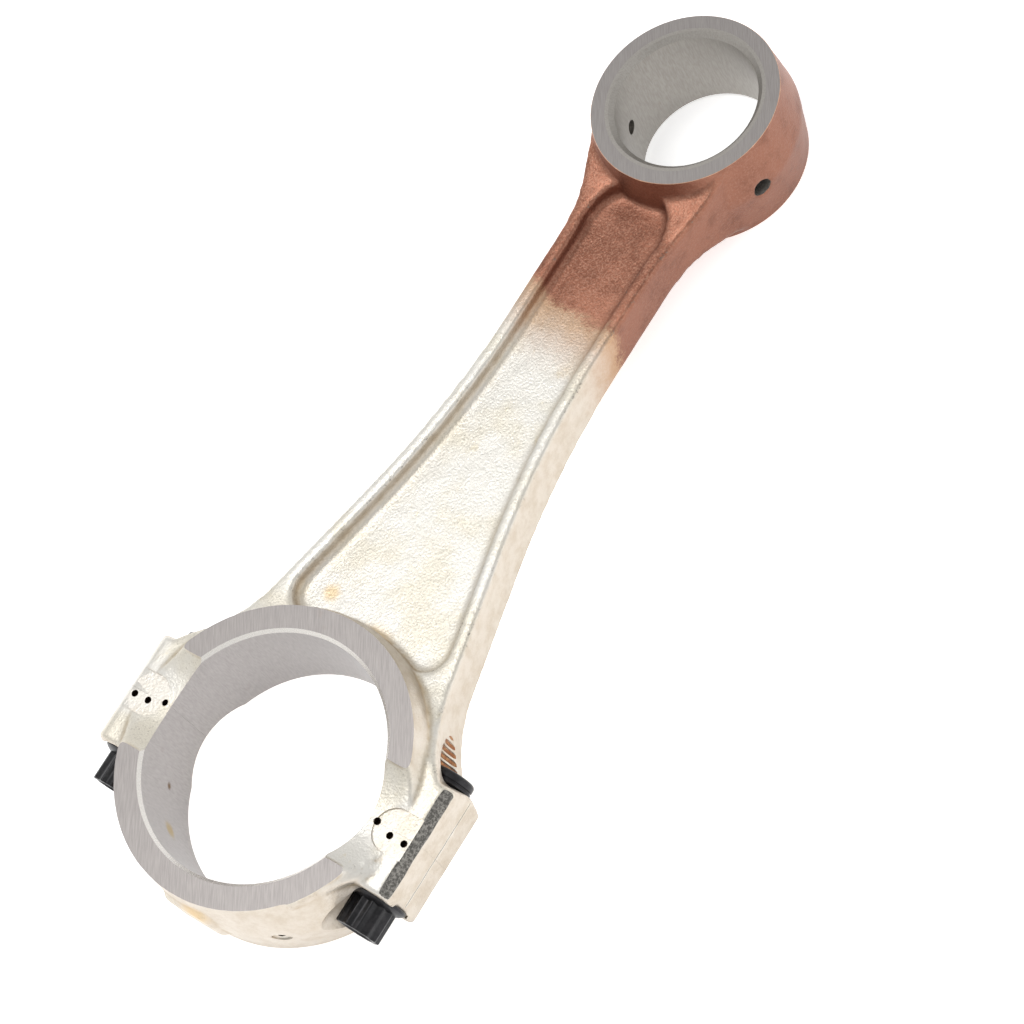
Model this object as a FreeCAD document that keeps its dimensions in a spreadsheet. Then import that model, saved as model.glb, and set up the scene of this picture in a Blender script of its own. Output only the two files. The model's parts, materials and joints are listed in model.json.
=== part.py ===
# Connecting rod: a forged I-section rod with a bushed small end and a split big end
# whose cap is held by two through bolts with flanged twelve-point nuts.
#
# Frame: the origin is the centre of the big-end bore. +X runs along the rod to the
# centre of the small end, +Z is the axis of both bores, +Y completes the frame.
# Every length is in millimetres and every angle in degrees.
import FreeCAD, Part
import os
import re

SIZES = {
    # the two ends
    "centre_distance": 264.0,
    "end_width": 38.5,
    "big_bore_radius": 43.0,
    "big_bore_chamfer": 1.15,
    "ring_wall": 9.2,
    "ring_draft": 2.2,
    "small_bore_radius": 25.5,
    "small_bore_chamfer": 1.75,
    "bush_wall": 3.0,
    "eye_wall": 5.0,
    "eye_draft": 2.4,
    "oil_hole_radius": 2.6,
    "oil_hole_angle": 109.5,
    "oil_sink_depth": 0.8,
    # shank
    "rail_height": 9.0,
    "rail_width": 5.2,
    "web_half": 4.0,
    "web_corner": 3.0,
    "waist_half": 20.0,
    "waist_from_eye": 60.0,
    "waist_length": 30.0,
    "flank_radius": 340.0,
    "flank_angle": 13.2,
    "shoulder_from_bore": 8.0,
    "shoulder_sweep": 60.0,
    "neck_from_eye": 48.0,
    "neck_sweep": 51.0,
    "root_from_bore": 12.0,
    "root_sweep": 95.0,
    "pocket_from_bore": 6.0,
    "pocket_corner": 9.0,
    "pocket_end_from_eye": 46.0,
    "pocket_end_radius": 15.2,
    # lugs on both sides of the joint
    "lug_wall": 9.8,
    "lug_half_height": 14.0,
    "lug_bevel": 3.3,
    "lug_top": 22.9,
    "lug_top_draft": 2.8,
    "lug_bottom": 21.2,
    "lug_bottom_draft": 1.2,
    "relief_radius": 35.0,
    "relief_drop": 0.2,
    "pad_half_width": 7.5,
    "pad_from_bore": 2.5,
    "pad_depth": 0.4,
    "dot_radius": 1.25,
    "dot_depth": 2.5,
    "dot_inner_x": 0.2,
    "dot_inner_from_bore": 3.0,
    "dot_middle_x": -1.8,
    "dot_middle_from_bore": 9.4,
    "dot_outer_x": -1.95,
    "dot_outer_from_bore": 15.3,
    # cap
    "crown_wall": 19.3,
    "crown_offset": 8.8,
    "crown_pad_half": 9.0,
    "crown_pad_wall": 11.3,
    "crown_pad_depth": 12.0,
    "crown_hole_radius": 1.25,
    "crown_hole_wall": 5.0,
    "crown_spot_radius": 3.4,
    "crown_spot_depth": 0.7,
    "crown_hole_angle": 214.0,
    "crown_hole_level": -2.0,
    # fasteners
    "bolt_from_bore": 10.5,
    "bolt_radius": 5.0,
    "bolt_clearance": 0.25,
    "bolt_seat": 22.5,
    "bolt_recess": 0.6,
    "bolt_tip_chamfer": 0.8,
    "head_clearance": 0.8,
    "head_pocket_length": 30.0,
    "head_overhang": 2.6,
    "head_flange": 1.6,
    "head_rounding": 0.7,
    "head_height": 4.2,
    "nut_seat": 19.0,
    "nut_clearance": 0.7,
    "nut_pocket_length": 45.0,
    "nut_overhang": 2.3,
    "nut_flange_edge": 1.5,
    "nut_flange_height": 3.2,
    "nut_wall": 3.0,
    "nut_height": 13.0,
    "thread_clearance": 0.05,
    "sleeve_wall": 1.25,
    "sleeve_half": 7.0,
    "sleeve_slip": 0.03,
    "sleeve_end_gap": 0.5,
}

doc = FreeCAD.newDocument("ConnectingRod")
sheet = doc.addObject("Spreadsheet::Sheet", "Sizes")
for row, (word, number) in enumerate(SIZES.items(), start=1):
    sheet.set("A%d" % row, word)
    sheet.set("B%d" % row, str(number))
    sheet.setAlias("B%d" % row, word)
doc.recompute()

X_AXIS = FreeCAD.Vector(1, 0, 0)
Y_AXIS = FreeCAD.Vector(0, 1, 0)
Z_AXIS = FreeCAD.Vector(0, 0, 1)
CENTRE = FreeCAD.Vector(0, 0, 0)
ALONG = {
    "x": FreeCAD.Rotation(Y_AXIS, 90),
    "y": FreeCAD.Rotation(X_AXIS, -90),
    "z": FreeCAD.Rotation(),
}
OVERSIZE = 70.0  # how far a cutting solid reaches past the metal it removes
PRISM_SIDES = 6  # two prisms of this many sides make the twelve-point star of a nut
SAME_PLACE = 0.01  # how near an edge has to lie to a face or a level to count as on it

# Sizes that follow from the driving ones: each name stands for its formula on the sheet.
FORMULAS = {
    "thrust_radius": "big_bore_radius + ring_wall",
    "thrust_root_radius": "big_bore_radius + ring_wall + ring_draft",
    "eye_face_radius": "small_bore_radius + bush_wall + eye_wall",
    "eye_root_radius": "small_bore_radius + bush_wall + eye_wall + eye_draft",
    "shoulder_start": "big_bore_radius + shoulder_from_bore",
    "root_start": "big_bore_radius + root_from_bore",
    "pocket_start": "big_bore_radius + pocket_from_bore",
    "lug_half_width": "bolt_offset + lug_wall",
    "relief_level": "lug_half_height - relief_drop",
    "pad_level": "relief_level - pad_depth",
    "pad_inner": "big_bore_radius + pad_from_bore",
    "dot_inner_y": "big_bore_radius + dot_inner_from_bore",
    "dot_middle_y": "big_bore_radius + dot_middle_from_bore",
    "dot_outer_y": "big_bore_radius + dot_outer_from_bore",
    "crown_radius": "big_bore_radius + crown_wall",
    "crown_pad_level": "big_bore_radius + crown_pad_wall",
    "crown_hole_end": "big_bore_radius + crown_hole_wall",
    "crown_spot_level": "crown_pad_level - crown_spot_depth",
    "bolt_offset": "big_bore_radius + bolt_from_bore",
    "bolt_hole_radius": "bolt_radius + bolt_clearance",
    "bolt_tip": "nut_end - bolt_recess",
    "head_radius": "bolt_radius + head_overhang",
    "head_crown_radius": "head_radius - head_rounding",
    "head_pocket_radius": "head_radius + head_clearance",
    "nut_radius": "bolt_radius + nut_wall",
    "nut_flange_radius": "nut_radius + nut_overhang",
    "nut_pocket_radius": "nut_flange_radius + nut_clearance",
    "nut_end": "nut_seat + nut_height",
    "sleeve_radius": "bolt_hole_radius + sleeve_wall",
}

# Longer distances along the rod, written with the same names.
HALF_WIDTH = "(end_width / 2)"
WAIST_END = "(centre_distance - waist_from_eye)"
WAIST_START = "(centre_distance - waist_from_eye - waist_length)"
FLANK_X = "(%s - flank_radius * sin(flank_angle))" % WAIST_START
FLANK_Y = "(waist_half + flank_radius * (1 - cos(flank_angle)))"
SHOULDER_Y = "(%s + (%s - shoulder_start) * tan(flank_angle))" % (FLANK_Y, FLANK_X)
EYE_SWEEP = (
    "((waist_from_eye ^ 2 + waist_half ^ 2 - eye_root_radius ^ 2)"
    " / (2 * (eye_root_radius - waist_half)))"
)
EYE_TANGENT = "(centre_distance - eye_root_radius * waist_from_eye / (%s + eye_root_radius))" % EYE_SWEEP


def formula(text):
    """Spell out every derived size in the text and point the driving ones at their cells."""

    def spell(match):
        word = match[0]
        if word in FORMULAS:
            return "(" + formula(FORMULAS[word]) + ")"
        return "Sizes." + word if word in SIZES else word

    return re.sub(r"[a-z_]{2,}", spell, text)


def bind(item, sizes):
    """Bind properties of an object to formulas on the sheet."""
    for name, text in sizes.items():
        item.setExpression(name, formula(str(text)))


def primitive(kind, name, sizes, place=("0", "0", "0"), turn=None):
    """Add a Part primitive with its sizes and its place bound to the sheet."""
    item = doc.addObject("Part::" + kind, name)
    item.Placement = FreeCAD.Placement(CENTRE, turn or FreeCAD.Rotation())
    bind(item, sizes)
    bind(item, dict(zip(("Placement.Base.x", "Placement.Base.y", "Placement.Base.z"), place)))
    return item


def cylinder(name, radius, height, place, along="z"):
    return primitive("Cylinder", name, {"Radius": radius, "Height": height}, place, ALONG[along])


def cone(name, radii, height, place, along="z"):
    sizes = {"Radius1": radii[0], "Radius2": radii[1], "Height": height}
    return primitive("Cone", name, sizes, place, ALONG[along])


def box(name, spans, place, turn=None):
    sizes = dict(zip(("Length", "Width", "Height"), spans))
    return primitive("Box", name, sizes, place, turn)


def fuse(name, items):
    item = doc.addObject("Part::MultiFuse", name)
    item.Shapes = items
    item.Refine = True
    return item


def cut(name, base, tool):
    item = doc.addObject("Part::Cut", name)
    item.Base = base
    item.Tool = tool
    item.Refine = True
    return item


def common(name, items):
    item = doc.addObject("Part::MultiCommon", name)
    item.Shapes = items
    item.Refine = True
    return item


def mirror(name, source, normal):
    item = doc.addObject("Part::Mirroring", name)
    item.Source = source
    item.Normal = normal
    return item


def both_sides(name, source, normal):
    """Fuse a solid with its mirror image in a plane through the origin."""
    return fuse(name, [source, mirror(name + "Mirror", source, normal)])


def round_edges(name, base, radius, wanted):
    """Round the edges for which wanted(edge) is true."""
    doc.recompute()
    picked = [n for n, edge in enumerate(base.Shape.Edges, start=1) if wanted(edge)]
    item = doc.addObject("Part::Fillet", name)
    item.Base = base
    item.Edges = [(n, radius, radius) for n in picked]
    return item


# ---------------------------------------------------------------- shank


def outside_flank(prefix, inset):
    """Everything beyond the rod's left flank, moved inwards by inset."""
    flank = box(
        prefix + "Flank",
        ("(%s - shoulder_start) / cos(flank_angle)" % FLANK_X, OVERSIZE, 2 * OVERSIZE),
        (
            "shoulder_start - %s * sin(flank_angle)" % inset,
            "%s - %s * cos(flank_angle)" % (SHOULDER_Y, inset),
            -OVERSIZE,
        ),
        FreeCAD.Rotation(Z_AXIS, -SIZES["flank_angle"]),
    )
    bind(flank, {"Placement.Rotation.Angle": "-flank_angle"})
    shoulder = cylinder(
        prefix + "Shoulder",
        "shoulder_sweep + %s" % inset,
        2 * OVERSIZE,
        (
            "shoulder_start + shoulder_sweep * sin(flank_angle)",
            "%s + shoulder_sweep * cos(flank_angle)" % SHOULDER_Y,
            -OVERSIZE,
        ),
    )
    bow = cylinder(
        prefix + "Bow",
        "flank_radius + %s" % inset,
        2 * OVERSIZE,
        (WAIST_START, "waist_half + flank_radius", -OVERSIZE),
    )
    waist = box(
        prefix + "Waist",
        ("waist_length", OVERSIZE, 2 * OVERSIZE),
        (WAIST_START, "waist_half - %s" % inset, -OVERSIZE),
    )
    sweep = cylinder(
        prefix + "Sweep",
        "%s + %s" % (EYE_SWEEP, inset),
        2 * OVERSIZE,
        (WAIST_END, "waist_half + %s" % EYE_SWEEP, -OVERSIZE),
    )
    return fuse(prefix + "Outside", [flank, shoulder, bow, waist, sweep])


def above_rails():
    """Everything in front of the lugs, the rails and the neck of the small end."""
    reach = 2 * OVERSIZE
    rails = box(
        "RailTop",
        ("centre_distance - neck_from_eye - root_start", reach, OVERSIZE),
        ("root_start", -OVERSIZE, "rail_height"),
    )
    neck = cylinder(
        "NeckSweep",
        "neck_sweep",
        reach,
        ("centre_distance - neck_from_eye", -OVERSIZE, "rail_height + neck_sweep"),
        "y",
    )
    root = cylinder(
        "RootSweep",
        "root_sweep",
        reach,
        ("root_start", -OVERSIZE, "rail_height + root_sweep"),
        "y",
    )
    drop = "(rail_height + root_sweep - lug_half_height)"
    lug_face = box(
        "LugFaceTop",
        ("%s + root_start - sqrt(root_sweep ^ 2 - %s ^ 2)" % (OVERSIZE, drop), reach, OVERSIZE),
        (-OVERSIZE, -OVERSIZE, "lug_half_height"),
    )
    return fuse("AboveRails", [rails, neck, root, lug_face])


def web_pocket():
    """The front pocket of the I-section, with a round top end and rounded lower corners."""
    corner_x = "(pocket_start + pocket_corner)"
    corner_y = (
        "(%s - (%s - shoulder_start) * tan(flank_angle)"
        " - (rail_width + pocket_corner) / cos(flank_angle))" % (SHOULDER_Y, corner_x)
    )
    trough_start = "(%s + pocket_corner * sin(flank_angle))" % corner_x
    block = box(
        "PocketBlock",
        ("centre_distance - pocket_end_from_eye - %s" % trough_start, 2 * OVERSIZE, OVERSIZE),
        (trough_start, -OVERSIZE, "web_half"),
    )
    sides = both_sides("PocketSides", outside_flank("Inner", "rail_width"), Y_AXIS)
    trough = cut("PocketTrough", block, sides)
    end = cylinder(
        "PocketEnd",
        "pocket_end_radius",
        OVERSIZE,
        ("centre_distance - pocket_end_from_eye", 0, "web_half"),
    )
    foot = box(
        "PocketFoot",
        ("%s - pocket_start" % trough_start, "2 * " + corner_y, OVERSIZE),
        ("pocket_start", "-" + corner_y, "web_half"),
    )
    corner = cylinder("PocketCorner", "pocket_corner", OVERSIZE, (corner_x, corner_y, "web_half"))
    pocket = fuse("Pocket", [trough, end, foot, both_sides("PocketCorners", corner, Y_AXIS)])

    def floor_edge(edge):
        return all(abs(vertex.Z - SIZES["web_half"]) < SAME_PLACE for vertex in edge.Vertexes)

    return round_edges("PocketFloor", pocket, SIZES["web_corner"], floor_edge)


def shank():
    """The I-section between the two ends; its foot stays within the flat faces of the lugs."""
    block = box(
        "ShankBlock",
        (EYE_TANGENT, "2 * (lug_half_width - lug_bevel)", "end_width"),
        (0, "lug_bevel - lug_half_width", "-end_width / 2"),
    )
    flanks = both_sides("Flanks", outside_flank("Outer", "0"), Y_AXIS)
    plan = cut("ShankPlan", block, flanks)
    profile = cut("ShankProfile", plan, both_sides("RailSides", above_rails(), Z_AXIS))
    return cut("Shank", profile, both_sides("Pockets", web_pocket(), Z_AXIS))


# ---------------------------------------------------------------- ends


def eye():
    """The small end: a barrel that tapers from its middle to both faces."""
    centre = ("centre_distance", 0, 0)
    half = cone("EyeHalf", ("eye_root_radius", "eye_face_radius"), HALF_WIDTH, centre)
    return both_sides("Eye", half, Z_AXIS)


def thrust_ring():
    """The ring around the big bore that stands proud of the lugs and carries the thrust faces."""
    core = cylinder("RingCore", "thrust_root_radius", "lug_half_height", (0, 0, 0))
    rim = cone(
        "RingRim",
        ("thrust_root_radius", "thrust_radius"),
        "%s - lug_half_height" % HALF_WIDTH,
        (0, 0, "lug_half_height"),
    )
    return both_sides("ThrustRing", fuse("RingHalf", [core, rim]), Z_AXIS)


def lugs():
    """The block across both bolt lugs: drafted ends, and bevels along its long outer edges."""
    half = primitive(
        "Wedge",
        "LugHalf",
        {
            "Xmin": "-lug_bottom",
            "Xmax": "lug_top",
            "X2min": "lug_bottom_draft - lug_bottom",
            "X2max": "lug_top - lug_top_draft",
            "Ymin": 0,
            "Ymax": "lug_half_height",
            "Zmin": "-lug_half_width",
            "Zmax": "lug_half_width",
            "Z2min": "-lug_half_width",
            "Z2max": "lug_half_width",
        },
        turn=FreeCAD.Rotation(X_AXIS, 90),
    )
    block = both_sides("LugBlock", half, Z_AXIS)
    doc.recompute()
    long_edges = []
    for number, edge in enumerate(block.Shape.Edges, start=1):
        middle = edge.CenterOfMass
        on_side = abs(abs(middle.y) - block.Shape.BoundBox.YMax) < SAME_PLACE
        on_face = abs(abs(middle.z) - SIZES["lug_half_height"]) < SAME_PLACE
        if on_side and on_face:
            long_edges.append((number, SIZES["lug_bevel"], SIZES["lug_bevel"]))
    item = doc.addObject("Part::Chamfer", "Lugs")
    item.Base = block
    item.Edges = long_edges
    return item


def crown():
    """The cap's back: flanks ruled from the thrust-face circle to a larger circle at mid width."""
    rings = []
    levels = (
        ("Front", "thrust_radius", "0", HALF_WIDTH),
        ("Middle", "crown_radius", "crown_offset", "0"),
        ("Back", "thrust_radius", "0", "-" + HALF_WIDTH),
    )
    for name, radius, shift, level in levels:
        rings.append(primitive("Circle", "Crown" + name, {"Radius": radius}, (shift, 0, level)))
    shell = doc.addObject("Part::Loft", "CrownShell")
    shell.Sections = rings
    shell.Solid = True
    shell.Ruled = True
    pad = box(
        "CrownPad",
        ("crown_pad_depth", "2 * crown_pad_half", "2 * crown_pad_half"),
        ("-crown_pad_level", "-crown_pad_half", "-crown_pad_half"),
    )
    return fuse("Crown", [shell, pad])


# ---------------------------------------------------------------- machining


def rim_chamfer(name, radius, chamfer, x):
    """The chamfers at both ends of a bore."""
    radii = (radius, "%s + 2 * %s" % (radius, chamfer))
    front = cone(name + "Front", radii, "2 * " + chamfer, (x, 0, "%s - %s" % (HALF_WIDTH, chamfer)))
    return both_sides(name, front, Z_AXIS)


def through_bore(name, radius, x):
    return cylinder(name, radius, "2 * end_width", (x, 0, "-end_width"))


def joint_relief():
    """The hollows across the joint, on both faces, where the thrust rings stop short of it."""
    front = cylinder(
        "ReliefFront",
        "relief_radius",
        2 * OVERSIZE,
        (0, -OVERSIZE, "relief_level + relief_radius"),
        "y",
    )
    return both_sides("JointRelief", front, Z_AXIS)


def numbering_pads():
    """Shallow round-ended pads across the joint on all four lug faces, each with three dots."""
    slot = box(
        "PadSlot",
        ("2 * pad_half_width", OVERSIZE, OVERSIZE),
        ("-pad_half_width", "pad_inner + pad_half_width", "pad_level"),
    )
    end = cylinder(
        "PadEnd",
        "pad_half_width",
        OVERSIZE,
        (0, "pad_inner + pad_half_width", "pad_level"),
    )
    dots = []
    for place in ("inner", "middle", "outer"):
        spot = ("dot_%s_x" % place, "dot_%s_y" % place, "pad_level - dot_depth")
        dots.append(cylinder("Dot" + place.title(), "dot_radius", OVERSIZE, spot))
    left = fuse("PadLeft", [slot, end] + dots)
    front = both_sides("PadsFront", left, Y_AXIS)
    return both_sides("Pads", front, Z_AXIS)


def along_bolts(name, radius, length, start):
    """A pair of cylinders on the two bolt axes."""
    left = cylinder(name + "Left", radius, length, (start, "bolt_offset", 0), "x")
    return both_sides(name, left, Y_AXIS)


def radial(kind, name, sizes, centre_x, angle, start, level):
    """A cutting solid that points away from a bore's axis."""
    item = primitive(kind, name, sizes)
    item.Placement = FreeCAD.Placement(CENTRE, FreeCAD.Rotation(Z_AXIS, SIZES[angle]) * ALONG["x"])
    bind(
        item,
        {
            "Placement.Base.x": "%s + (%s) * cos(%s)" % (centre_x, start, angle),
            "Placement.Base.y": "(%s) * sin(%s)" % (start, angle),
            "Placement.Base.z": level,
        },
    )
    return item


def oil_drillings():
    """One oil hole on each side of the small end, countersunk where it opens."""
    hole = radial(
        "Cylinder",
        "OilHole",
        {"Radius": "oil_hole_radius", "Height": OVERSIZE},
        "centre_distance",
        "oil_hole_angle",
        "small_bore_radius / 2",
        "0",
    )
    sink = radial(
        "Cone",
        "OilSink",
        {
            "Radius1": "oil_hole_radius",
            "Radius2": "oil_hole_radius + 2 * oil_sink_depth",
            "Height": "2 * oil_sink_depth",
        },
        "centre_distance",
        "oil_hole_angle",
        "eye_root_radius - oil_sink_depth",
        "0",
    )
    return both_sides("OilHoles", fuse("OilHoleLeft", [hole, sink]), Y_AXIS)


def crown_drilling():
    """The blind hole in the cap's crown and the spot face around its mouth."""
    place = ("0", "crown_hole_angle")
    hole = {"Radius": "crown_hole_radius", "Height": OVERSIZE}
    spot = {"Radius": "crown_spot_radius", "Height": OVERSIZE}
    return [
        radial("Cylinder", "CrownHole", hole, *place, "crown_hole_end", "crown_hole_level"),
        radial("Cylinder", "CrownSpot", spot, *place, "crown_spot_level", "crown_hole_level"),
    ]


big_bore = fuse(
    "BigBore",
    [
        through_bore("BigBoreWall", "big_bore_radius", "0"),
        rim_chamfer("BigBoreChamfer", "big_bore_radius", "big_bore_chamfer", "0"),
    ],
)
oil_holes = oil_drillings()
joint_machining = [
    big_bore,
    joint_relief(),
    numbering_pads(),
    along_bolts("BoltHoles", "bolt_hole_radius", 2 * OVERSIZE, -OVERSIZE),
]


# ---------------------------------------------------------------- rod and cap


def half_space(name, start):
    return box(
        name,
        ("2 * centre_distance", "4 * lug_half_width", "2 * end_width"),
        (start, "-2 * lug_half_width", "-end_width"),
    )


def rod():
    forging = fuse("RodForging", [shank(), eye(), thrust_ring(), lug_block])
    blank = common("RodBlank", [forging, half_space("RodSpace", "0")])
    tools = joint_machining + [
        through_bore("BushSeat", "small_bore_radius + bush_wall", "centre_distance"),
        oil_holes,
        along_bolts("HeadPockets", "head_pocket_radius", "head_pocket_length", "bolt_seat"),
        along_bolts("RodSleeveSeats", "sleeve_radius", "sleeve_half + sleeve_end_gap", "0"),
    ]
    return cut("RodPart", blank, fuse("RodMachining", tools))


def bearing_cap():
    forging = fuse("CapForging", [crown(), lug_block])
    blank = common("CapBlank", [forging, half_space("CapSpace", "-2 * centre_distance")])
    tools = joint_machining + [
        along_bolts(
            "NutPockets",
            "nut_pocket_radius",
            "nut_pocket_length",
            "-nut_seat - nut_pocket_length",
        ),
        along_bolts(
            "CapSleeveSeats",
            "sleeve_radius + sleeve_slip",
            "sleeve_half + sleeve_end_gap",
            "-sleeve_half - sleeve_end_gap",
        ),
    ] + crown_drilling()
    return cut("CapPart", blank, fuse("CapMachining", tools))


# ---------------------------------------------------------------- small pieces


def bush():
    """The plain bush pressed into the small end."""
    tube = cylinder(
        "BushOuter",
        "small_bore_radius + bush_wall",
        "end_width",
        ("centre_distance", 0, "-end_width / 2"),
    )
    tools = [
        through_bore("BushBore", "small_bore_radius", "centre_distance"),
        rim_chamfer("BushChamfer", "small_bore_radius", "small_bore_chamfer", "centre_distance"),
        oil_holes,
    ]
    return cut("BushPart", tube, fuse("BushMachining", tools))


def turned_x(name, side, steps):
    """A turned solid on a bolt axis: steps of (start radius, end radius, start x, end x)."""
    items = []
    for number, (first, last, start, end) in enumerate(steps):
        place = (start, "%d * bolt_offset" % side, 0)
        length = "(%s) - (%s)" % (end, start)
        step_name = "%sStep%d" % (name, number)
        if first == last:
            items.append(cylinder(step_name, first, length, place, "x"))
        else:
            items.append(cone(step_name, (first, last), length, place, "x"))
    return items


def bolt(side, name):
    """A shouldered cap bolt; its low round head sits in the pocket on the rod's shoulder."""
    tip = "bolt_radius - bolt_tip_chamfer"
    chamfer_top = "bolt_tip_chamfer - bolt_tip"
    rim = "bolt_seat + head_flange"
    steps = [
        (tip, "bolt_radius", "-bolt_tip", chamfer_top),
        ("bolt_radius", "bolt_radius", chamfer_top, "bolt_seat"),
        ("head_radius", "head_radius", "bolt_seat", rim),
        ("head_crown_radius", "head_crown_radius", rim, "bolt_seat + head_height"),
    ]
    return fuse(name, turned_x(name, side, steps))


def nut(side, name):
    """A twelve-point nut with a wide flange."""
    points = []
    for number in range(2):
        prism = primitive(
            "Prism",
            "%sPoints%d" % (name, number),
            {"Circumradius": "nut_radius", "Height": "nut_end - nut_seat"},
            ("-nut_end", "%d * bolt_offset" % side, 0),
            ALONG["x"] * FreeCAD.Rotation(Z_AXIS, 180 / PRISM_SIDES * number),
        )
        prism.Polygon = PRISM_SIDES
        points.append(prism)
    edge = "-nut_seat - nut_flange_edge"
    steps = [
        ("nut_radius", "nut_flange_radius", "-nut_seat - nut_flange_height", edge),
        ("nut_flange_radius", "nut_flange_radius", edge, "-nut_seat"),
    ]
    solid = fuse(name + "Solid", points + turned_x(name, side, steps))
    bore = cylinder(
        name + "Bore",
        "bolt_radius + thread_clearance",
        2 * OVERSIZE,
        (-OVERSIZE, "%d * bolt_offset" % side, 0),
        "x",
    )
    return cut(name, solid, bore)


def sleeve(side, name):
    """A locating sleeve around the bolt, half in the rod and half in the cap."""
    place = ("-sleeve_half", "%d * bolt_offset" % side, 0)
    outer = cylinder(name + "Outer", "sleeve_radius", "2 * sleeve_half", place, "x")
    inner = cylinder(name + "Inner", "bolt_hole_radius", "2 * sleeve_half", place, "x")
    return cut(name, outer, inner)


lug_block = lugs()
pieces = {
    "rod": rod(),
    "bearing_cap": bearing_cap(),
    "small_end_bush": bush(),
}
for side_name, side in (("left", 1), ("right", -1)):
    pieces["bolt_" + side_name] = bolt(side, "Bolt" + side_name.title())
    pieces["nut_" + side_name] = nut(side, "Nut" + side_name.title())
    pieces["sleeve_" + side_name] = sleeve(side, "Sleeve" + side_name.title())
doc.recompute()

for item in doc.Objects:
    if "Invalid" in item.State or "Error" in item.State:
        raise RuntimeError("%s could not be built" % item.Name)
os.makedirs("parts", exist_ok=True)
for node, item in pieces.items():
    item.Label = node
    shape = item.Shape
    if shape.isNull() or not shape.isValid() or len(shape.Solids) != 1:
        raise RuntimeError("%s is not one sound solid" % node)
for node, item in pieces.items():
    item.Shape.exportStep("parts/%s.step" % node)
    print("%-16s %9.1f mm3" % (node, item.Shape.Volume))
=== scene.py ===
# %% [markdown]
# # A forged connecting rod
#
# The rod joins a crank to a piston. It starts as a hot forging with soft edges and a skin like fine sand,
# is plated, and is then cut by machine tools wherever something has to fit. The lesson follows that order:
# a soft blank is made for each forging first, and crisp cutters take the machined faces out of it.
#
# The imported design is the frame: it gives every size and place, and nothing here moves it.

# %% Load the frame
import json
import math

import bmesh
import bpy
from mathutils import Matrix, Vector, noise
from mathutils.kdtree import KDTree


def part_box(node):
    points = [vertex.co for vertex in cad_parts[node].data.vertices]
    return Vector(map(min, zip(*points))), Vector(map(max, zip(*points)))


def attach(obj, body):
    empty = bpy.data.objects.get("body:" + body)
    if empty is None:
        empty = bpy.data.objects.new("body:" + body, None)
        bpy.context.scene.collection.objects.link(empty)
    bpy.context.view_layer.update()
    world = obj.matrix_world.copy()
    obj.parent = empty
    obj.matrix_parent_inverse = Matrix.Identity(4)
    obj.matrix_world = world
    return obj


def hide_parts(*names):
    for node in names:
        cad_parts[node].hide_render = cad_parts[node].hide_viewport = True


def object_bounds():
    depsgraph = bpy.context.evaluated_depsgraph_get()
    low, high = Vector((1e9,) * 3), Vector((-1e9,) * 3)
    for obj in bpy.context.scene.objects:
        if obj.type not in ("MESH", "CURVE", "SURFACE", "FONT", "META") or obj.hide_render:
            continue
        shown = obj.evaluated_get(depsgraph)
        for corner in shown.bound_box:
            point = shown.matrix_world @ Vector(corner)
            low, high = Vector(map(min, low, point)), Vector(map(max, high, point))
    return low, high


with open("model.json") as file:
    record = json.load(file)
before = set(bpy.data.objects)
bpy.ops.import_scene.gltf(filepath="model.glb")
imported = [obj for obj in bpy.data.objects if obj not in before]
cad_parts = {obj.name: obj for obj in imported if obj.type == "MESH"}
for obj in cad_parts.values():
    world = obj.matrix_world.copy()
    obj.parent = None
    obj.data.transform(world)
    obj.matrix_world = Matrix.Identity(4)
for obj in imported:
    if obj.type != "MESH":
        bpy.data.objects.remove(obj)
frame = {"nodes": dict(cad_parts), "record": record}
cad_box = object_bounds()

MM = 0.001
scene = bpy.context.scene
mounts = {mount["name"]: mount for mount in frame["record"]["mounts"]}
big_bore = mounts["big_end_bore"]["dims"]["r_mm"]
pin_bore = mounts["small_end_bore"]["dims"]["r_mm"]
centre_distance = mounts["small_end_bore"]["pos_m"][0] / MM
half_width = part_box("small_end_bush")[1].z / MM
bush_outer = (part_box("small_end_bush")[1].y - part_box("small_end_bush")[0].y) / 2 / MM
bolt_offset = (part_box("bolt_left")[1].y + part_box("bolt_left")[0].y) / 2 / MM
print("centre distance %.1f, bore radii %.1f and %.1f" % (centre_distance, big_bore, pin_bore))
print("width over the end faces %.1f" % (2 * half_width))

# %% [markdown]
# ## The camera
#
# A long lens flattens a product and keeps circles close to true ellipses. The camera looks down on the rod
# from the crank side, tilted so that the small end points to the upper right. Its right and up axes are given
# as directions in the rod's own frame, and the third one, which points back, follows from them.

# %% Set up the camera
CAMERA_PLACE = Vector((-92.45, -509.91, 832.10)) * MM
CAMERA_RIGHT = Vector((0.52558, -0.78304, -0.33259))
CAMERA_UP = Vector((0.82500, 0.37368, 0.42396))
SENSOR = 36.0
LENS = 105.04

camera_back = CAMERA_RIGHT.cross(CAMERA_UP).normalized()
camera_data = bpy.data.cameras.new("studio_camera")
camera_data.sensor_width = SENSOR
camera_data.lens = LENS
camera_data.clip_start = 0.01
camera = bpy.data.objects.new("studio_camera", camera_data)
axes = Matrix((CAMERA_RIGHT, camera_back.cross(CAMERA_RIGHT), camera_back)).transposed()
camera.matrix_world = Matrix.Translation(CAMERA_PLACE) @ axes.to_4x4()
scene.collection.objects.link(camera)
scene.camera = camera
print(camera.name, "with a lens of %.1f mm" % LENS)

# %% [markdown]
# ## Materials: two small helpers
#
# Colours are picked the way a painter mixes them, as sRGB hex, so one function turns them into the linear
# values that light works in. A second one adds a node to a material, with its settings and its links, which
# keeps each material's recipe short enough to read.

# %% Colour and node helpers


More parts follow.
